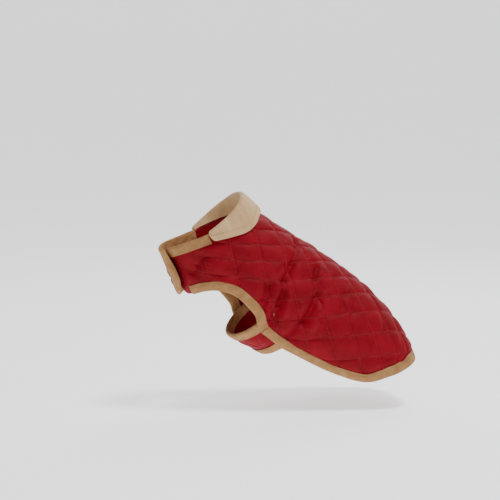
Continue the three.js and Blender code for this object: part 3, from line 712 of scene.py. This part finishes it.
# Stitches

# Heights and widths along one stitch, from where it comes up to where it goes down; sides of its thread
STITCH_RISE = np.array([-1.4, 0.2, 0.55, 0.2, -1.4])
STITCH_SWELL = np.array([0.55, 1.0, 1.05, 1.0, 0.55])
STITCH_PLACES = np.array([0.0, 0.2, 0.5, 0.8, 1.0])
THREAD_SIDES = 5
PATH_STEP = 1.5
PATH_FINE = 8


def stitch_dashes(name, paths, length, gap, radius, lift):
    """Thread lying in short stitches along paths of (u, v, h), each a thin tube with pinched ends."""
    sides, fine = THREAD_SIDES, PATH_FINE
    centres = []
    for path in paths:
        path = np.asarray(path, float)
        place = np.linspace(0, len(path) - 1, (len(path) - 1) * fine + 1)
        dense = np.column_stack([np.interp(place, np.arange(len(path)), path[:, n]) for n in range(3)])
        points = cloth_points(dense[:, 0], dense[:, 1], dense[:, 2])
        normals = outward(dense[:, 0], dense[:, 1])
        travel = np.concatenate([[0], np.cumsum(np.linalg.norm(np.diff(points, axis=0), axis=1))])
        starts = np.arange(gap, travel[-1] - length, length + gap)
        for start in starts:
            want = start + length * STITCH_PLACES
            line = np.column_stack([np.interp(want, travel, points[:, n]) for n in range(3)])
            normal = np.array([np.interp(start, travel, normals[:, n]) for n in range(3)])
            centres.append((line + normal * (lift * STITCH_RISE)[:, None], normal))
    ring = np.array([[math.cos(2 * math.pi * k / sides), math.sin(2 * math.pi * k / sides)]
                     for k in range(sides)])
    sizes = radius * STITCH_SWELL
    points, faces = [], []
    for line, normal in centres:
        start = len(points)
        tangent = line[-1] - line[0]
        side = np.cross(tangent, normal)
        side /= np.linalg.norm(side)
        for centre, size in zip(line, sizes):
            points.extend(centre + size * (ring[:, :1] * side + ring[:, 1:] * normal))
        for s in range(len(sizes) - 1):
            for k in range(sides):
                a, b = start + s * sides + k, start + s * sides + (k + 1) % sides
                faces.append([a, b, b + sides, a + sides])
        faces.append([start + k for k in range(sides)][::-1])
        faces.append([start + (len(sizes) - 1) * sides + k for k in range(sides)])
    points = np.asarray(points)
    return mesh_piece(name, points, faces, points[:, :2])


def quilt_stitch_paths(outline, height_at, keep_inside):
    """Runs of the two sets of stitch lines inside an outline, as (u, v, h) paths."""
    lows, highs = outline.min(0), outline.max(0)
    paths = []
    for sign in (1, -1):
        spread = [u + sign * v for u in (lows[0], highs[0]) for v in (lows[1], highs[1])]
        first, last = math.floor(min(spread) / STITCH_PERIOD), math.ceil(max(spread) / STITCH_PERIOD)
        for number in range(first, last + 1):
            level = number * STITCH_PERIOD
            u = np.arange(lows[0], highs[0], PATH_STEP)
            v = sign * (level - u)
            fit = (v > lows[1]) & (v < highs[1])
            if fit.sum() < 4:
                continue
            u, v = u[fit], v[fit]
            _, inside = nearest_on_outline(outline, u, v)
            good = inside > keep_inside
            runs = np.split(np.arange(len(u)), np.flatnonzero(np.diff(good.astype(int))) + 1)
            for run in runs:
                if good[run[0]] and len(run) > 4:
                    paths.append(np.column_stack([u[run], v[run], height_at(u[run], v[run])]))
    return paths


# Materials

class Nodes:
    """Short hand for making and joining shader nodes."""

    def __init__(self, name):
        self.material = bpy.data.materials.new(name)
        self.material.use_nodes = True
        self.tree = self.material.node_tree
        self.shader = self.tree.nodes["Principled BSDF"]

    def add(self, kind, inputs=None, **settings):
        node = self.tree.nodes.new(kind)
        for key, value in settings.items():
            setattr(node, key, value)
        for key, value in (inputs or {}).items():
            self.put(node.inputs[key], value)
        return node

    def put(self, socket, value):
        if isinstance(value, bpy.types.NodeSocket):
            self.tree.links.new(value, socket)
        else:
            socket.default_value = value

    def math(self, operation, a, b=0.0):
        node = self.add("ShaderNodeMath", operation=operation)
        self.put(node.inputs[0], a)
        self.put(node.inputs[1], b)
        return node.outputs[0]

    def noise(self, vector, scale, detail=3.0, roughness=0.55):
        return self.add("ShaderNodeTexNoise", {"Vector": vector, "Scale": scale, "Detail": detail,
                                               "Roughness": roughness}).outputs["Fac"]

    def ramp(self, factor, stops):
        node = self.add("ShaderNodeValToRGB", {"Fac": factor})
        elements = node.color_ramp.elements
        elements[0].position, elements[0].color = stops[0][0], (*stops[0][1], 1)
        elements[1].position, elements[1].color = stops[-1][0], (*stops[-1][1], 1)
        for place, colour in stops[1:-1]:
            elements.new(place).color = (*colour, 1)
        return node.outputs["Color"]

    def mix(self, factor, a, b):
        node = self.add("ShaderNodeMix", data_type="RGBA", blend_type="MIX")
        self.put(node.inputs[0], factor)
        self.put(node.inputs[6], a)
        self.put(node.inputs[7], b)
        return node.outputs[2]

    def scaled(self, vector, scale):
        return self.add("ShaderNodeMapping", {"Vector": vector, "Scale": scale}).outputs["Vector"]

    def bump(self, height, strength, distance, normal=None):
        inputs = {"Height": height, "Strength": strength, "Distance": distance}
        if normal is not None:
            inputs["Normal"] = normal
        return self.add("ShaderNodeBump", inputs).outputs["Normal"]

    def weave(self, vector, period):
        """Over-and-under of a plain weave with that period in metres, from 0 to 1."""
        scale = math.pi / period
        split = self.add("ShaderNodeSeparateXYZ", {"Vector": vector})
        waves = []
        for axis in (0, 1):
            angle = self.math("MULTIPLY", split.outputs[axis], scale)
            waves.append(self.math("SINE", angle))
        crossed = self.math("MULTIPLY", waves[0], waves[1])
        return self.math("ADD", self.math("MULTIPLY", crossed, 0.5), 0.5)


def shaded(nodes, colour, normal, roughness, sheen, sheen_roughness, sheen_tint, specular=0.3):
    put, sockets = nodes.put, nodes.shader.inputs
    put(sockets["Base Color"], colour)
    put(sockets["Normal"], normal)
    put(sockets["Roughness"], roughness)
    put(sockets["Sheen Weight"], sheen)
    put(sockets["Sheen Roughness"], sheen_roughness)
    put(sockets["Sheen Tint"], (*sheen_tint, 1))
    put(sockets["Specular IOR Level"], specular)
    return nodes.material


def seam_band(n, uv, width):
    """1 on the stitch lines of the quilting, falling to 0 at width metres to each side."""
    parts = n.add("ShaderNodeSeparateXYZ", {"Vector": uv}).outputs
    period = STITCH_PERIOD / 1000
    bands = []
    for operation in ("ADD", "SUBTRACT"):
        across = n.math(operation, parts["X"], parts["Y"])
        reach = n.math("PINGPONG", across, period / 2)
        bands.append(n.math("DIVIDE", reach, width * math.sqrt(2)))
    nearest = n.math("MINIMUM", *bands)
    return n.math("SUBTRACT", 1.0, n.math("MINIMUM", nearest, 1.0))


def shell_material():
    n = Nodes("red_quilted_cloth")
    uv = n.add("ShaderNodeUVMap", uv_map="cloth").outputs["UV"]
    weave = n.weave(uv, 0.0007)
    slub = n.noise(n.scaled(uv, (1, 9, 1)), 260, 2)
    slub_across = n.noise(n.scaled(uv, (9, 1, 1)), 260, 2)
    cloud = n.noise(uv, 34, 3)
    threads = n.math("ADD", n.math("MULTIPLY", slub, 0.5), n.math("MULTIPLY", slub_across, 0.5))
    tone = n.math("ADD", n.math("MULTIPLY", cloud, 0.55), n.math("MULTIPLY", threads, 0.45))
    colour = n.ramp(tone, [(0.36, (0.155, 0.0010, 0.0056)), (0.50, (0.215, 0.0018, 0.0086)),
                           (0.66, (0.275, 0.0036, 0.0140))])
    colour = n.mix(0.16, colour, n.ramp(weave, [(0.2, (0.12, 0.001, 0.003)), (0.8, (0.32, 0.006, 0.016))]))
    seam = seam_band(n, uv, SEAM_BAND)
    # Painted shade: the cloth colour is darkened along the quilting's stitch grooves, where shade falls in
    # the recess
    colour = n.mix(n.math("MULTIPLY", seam, 0.22), colour, (0.12, 0.0010, 0.0045, 1))
    fine = n.bump(n.math("ADD", weave, n.math("MULTIPLY", threads, 1.2)), 0.35, 0.00018)
    creped = n.bump(n.noise(uv, 120, 4), 0.3, 0.0007, fine)
    normal = n.bump(n.math("SUBTRACT", 1.0, seam), 0.35, 0.0006, creped)
    rough = n.math("ADD", n.math("MULTIPLY", threads, 0.16), 0.52)
    return shaded(n, colour, normal, rough, 0.05, 0.4, (1.0, 0.25, 0.35), 0.10)


def nap_material(name, dark, middle, light, mottle, nap, sheen, sheen_tint, bump):
    n = Nodes(name)
    uv = n.add("ShaderNodeUVMap", uv_map="cloth").outputs["UV"]
    cloud = n.noise(uv, mottle, 4)
    hair = n.noise(n.scaled(uv, (1, 2.2, 1)), nap, 4, 0.7)
    tone = n.math("ADD", n.math("MULTIPLY", cloud, 0.6), n.math("MULTIPLY", hair, 0.4))
    colour = n.ramp(tone, [(0.36, dark), (0.52, middle), (0.66, light)])
    fine = n.bump(hair, 0.5, bump)
    normal = n.bump(n.noise(uv, nap * 0.3, 3), 0.35, bump * 2.5, fine)
    rough = n.math("ADD", n.math("MULTIPLY", hair, 0.12), 0.8)
    return shaded(n, colour, normal, rough, sheen, 0.5, sheen_tint, 0.15)


def thread_material(name, dark, light):
    n = Nodes(name)
    place = n.add("ShaderNodeTexCoord").outputs["Object"]
    twist = n.noise(place, 2400, 2)
    colour = n.ramp(twist, [(0.35, dark), (0.65, light)])
    return shaded(n, colour, n.bump(twist, 0.4, 0.0001), 0.55, 0.2, 0.4, light, 0.35)


def tape_material():
    n = Nodes("fastener_tape")
    uv = n.add("ShaderNodeUVMap", uv_map="cloth").outputs["UV"]
    cells = n.add("ShaderNodeTexVoronoi", {"Vector": uv, "Scale": 900.0}).outputs["Distance"]
    colour = n.ramp(cells, [(0.1, (0.42, 0.31, 0.22)), (0.7, (0.26, 0.18, 0.12))])
    return shaded(n, colour, n.bump(cells, 0.8, 0.0005), 0.85, 0.3, 0.5, (0.8, 0.7, 0.6), 0.2)


RED = shell_material()
TAN = nap_material("tan_binding_tape", (0.27, 0.130, 0.048), (0.37, 0.190, 0.076), (0.47, 0.265, 0.118),
                   90, 1400, 0.08, (1.0, 0.75, 0.5), 0.0004)
SUEDE = nap_material("collar_brushed_cloth",
                     (0.45, 0.270, 0.128), (0.58, 0.370, 0.190), (0.70, 0.485, 0.275),
                     38, 1100, 0.22, (1.0, 0.85, 0.65), 0.0005)
SUEDE_THREAD = thread_material("collar_thread", (0.20, 0.12, 0.05), (0.34, 0.21, 0.10))
# Quilting thread lighter than the cloth: partly the thread's own colour, partly a painted highlight for the
# light that the stitch grooves catch
RED_THREAD = thread_material("red_thread", (0.34, 0.012, 0.024), (0.52, 0.035, 0.055))
TAN_THREAD = thread_material("tan_thread", (0.20, 0.11, 0.045), (0.36, 0.21, 0.10))
TAPE = tape_material()


def finish_piece(piece, material, slot, *nodes):
    piece.data.materials.append(material)
    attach(piece, "root")
    if nodes:
        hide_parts(*nodes)
    return piece


# Camera and stage

def camera():
    toward = np.array([math.sin(AZIMUTH) * math.cos(ELEVATION), -math.cos(AZIMUTH) * math.cos(ELEVATION),
                       math.sin(ELEVATION)])
    right = np.array([math.cos(AZIMUTH), math.sin(AZIMUTH), 0.0])
    up = np.cross(toward, -right)
    up = up if up[2] > 0 else -up
    centre = MM_PER_PIXEL * ((IMAGE / 2 - ORIGIN_PIXEL[0]) * right - (IMAGE / 2 - ORIGIN_PIXEL[1]) * up)
    place = (centre + DISTANCE * toward) / 1000
    data = bpy.data.cameras.new("camera")
    data.sensor_width = 36
    data.lens = 36 * DISTANCE / (MM_PER_PIXEL * IMAGE)
    item = bpy.data.objects.new("camera", data)
    bpy.context.scene.collection.objects.link(item)
    item.matrix_world = Matrix([
        [right[0], up[0], toward[0], place[0]],
        [right[1], up[1], toward[1], place[1]],
        [right[2], up[2], toward[2], place[2]],
        [0, 0, 0, 1],
    ])
    bpy.context.scene.camera = item


def floor():
    """Pale floor that sweeps up far behind the object, as the paper of a studio does."""
    half, near, turn, radius, top = 9.0, 6.0, 3.4, 2.2, 5.0
    z = FLOOR_Z / 1000
    arc = [(turn + radius * math.sin(a), z + radius * (1 - math.cos(a)))
           for a in np.linspace(0, math.pi / 2, 25)]
    profile = [(-near, z)] + arc + [(turn + radius, z + top)]
    back = (-math.sin(AZIMUTH), math.cos(AZIMUTH))
    points = [(back[0] * y + back[1] * x, back[1] * y - back[0] * x, h)
              for y, h in profile for x in (-half, half)]
    faces = [(2 * k, 2 * k + 1, 2 * k + 3, 2 * k + 2) for k in range(len(profile) - 1)]
    mesh = bpy.data.meshes.new("floor")
    mesh.from_pydata(points, [], faces)
    mesh.polygons.foreach_set("use_smooth", [True] * len(faces))
    item = bpy.data.objects.new("floor", mesh)
    bpy.context.scene.collection.objects.link(item)
    n = Nodes("pale_floor")
    place = n.add("ShaderNodeTexCoord").outputs["Object"]
    colour = n.ramp(n.noise(place, 3, 2), [(0.3, (0.90, 0.90, 0.90)), (0.7, (0.93, 0.93, 0.93))])
    n.put(n.shader.inputs["Base Color"], colour)
    n.put(n.shader.inputs["Roughness"], 0.8)
    n.put(n.shader.inputs["Emission Color"], (1, 1, 1, 1))
    n.put(n.shader.inputs["Emission Strength"], 1.0)
    item.data.materials.append(n.material)


def light(name, place, target, energy, size):
    data = bpy.data.lights.new(name, "AREA")
    data.energy, data.size = energy, size
    item = bpy.data.objects.new(name, data)
    item.location = place
    item.rotation_euler = (Vector(target) - Vector(place)).to_track_quat("-Z", "Y").to_euler()
    bpy.context.scene.collection.objects.link(item)


def studio():
    world = bpy.data.worlds.new("studio")
    world.use_nodes = True
    background = world.node_tree.nodes["Background"]
    background.inputs["Color"].default_value = (0.96, 0.97, 1.0, 1)
    background.inputs["Strength"].default_value = 0.15
    bpy.context.scene.world = world
    middle = (0.0, 0.0, -0.1)
    light("key", (0.55, -0.75, 2.3), middle, energy=62, size=0.7)
    light("fill", (-1.2, -1.9, 0.6), middle, energy=5, size=1.6)
    light("back", (0.9, 1.5, 1.5), middle, energy=16, size=1.2)


camera()
floor()
studio()

shell, shell_area = quilted_shell()
finish_piece(shell, RED, "quilted_red", "body_panel")
strap = finish_piece(quilted_strap(), RED, "quilted_red", "belly_strap")

tan_seams, bound = [], {}
bound_pieces = [
    (name, node, edge_run(bound_edge, run_ends[k], run_ends[k + 1]), width, None)
    for k, (name, node, width) in enumerate((
        ("armhole_bound_near", "armhole_binding_near", BINDING_WIDTH),
        ("hem_bound", "hem_binding", BINDING_WIDTH),
        ("armhole_bound_far", "armhole_binding_far", BINDING_WIDTH),
        ("flap_bound", "flap_binding", FLAP_BINDING_WIDTH),
        ("neck_bound_far", "neck_binding_far", BINDING_WIDTH),
    ))
] + [
    ("neck_bound_near", "neck_binding_near", edge_run(edges["near_neck"]), BINDING_WIDTH, None),
    ("strap_bound_front", "strap_binding_front", edge_run(strap_front), BINDING_WIDTH, strap_base),
    ("strap_bound_rear", "strap_binding_rear", edge_run(strap_rear), BINDING_WIDTH, strap_base),
]
for name, node, run, width, base_at in bound_pieces:
    piece, seam = binding(name, run, width, base_at)
    finish_piece(piece, TAN, "tan_binding", node)
    tan_seams.append(seam)
    bound[name] = piece

collar, collar_seam, collar_cut, collar_area = collar_piece()
finish_piece(collar, SUEDE, "collar_suede", "collar")

u0, u1, inner, outer = CHEST_PATCH
for name, node, side, h in (
    ("chest_tape_under", "chest_fastener_loop", -1, WALL + SEAM_GAP),
    ("chest_tape_over", "chest_fastener_hook", 1, -SEAM_GAP - PATCH_CLOTH),
):
    patch = patch_piece(name, u0, u1,
                        lambda u, s: side * half_girth(u)[0] + inner + (outer - inner) * s, h)
    finish_piece(patch, TAPE, "fastener_tape", node)
u0, u1, inner, outer = STRAP_PATCH
for name, node, h in (
    ("strap_tape_panel", "strap_fastener_loop", -SEAM_GAP - PATCH_CLOTH),
    ("strap_tape_strap", "strap_fastener_hook", WALL + SEAM_GAP - FASTENED_UNDER),
):
    patch = patch_piece(name, u0, u1, lambda u, s: inner + (outer - inner) * s - 2 * BELLY_V, h)
    finish_piece(patch, TAPE, "fastener_tape", node)

lap_clear = BINDING_WIDTH + 2
panel_paths = quilt_stitch_paths(
    panel_outline, lambda u, v: np.full(len(u), WALL + 0.05) - trough_depth(CREASES, u, v), lap_clear)
quilt_stitches = stitch_dashes("quilt_stitches", panel_paths, length=3.0, gap=1.0, radius=0.26, lift=0.3)
finish_piece(quilt_stitches, RED_THREAD, "quilted_red")
binding_stitches = stitch_dashes("binding_stitches", tan_seams, length=2.4, gap=0.9, radius=0.24, lift=0.28)
finish_piece(binding_stitches, TAN_THREAD, "tan_binding")
collar_stitches = stitch_dashes("collar_stitches", [collar_seam], length=2.6, gap=0.9, radius=0.26, lift=0.25)
finish_piece(collar_stitches, SUEDE_THREAD, "collar_suede")
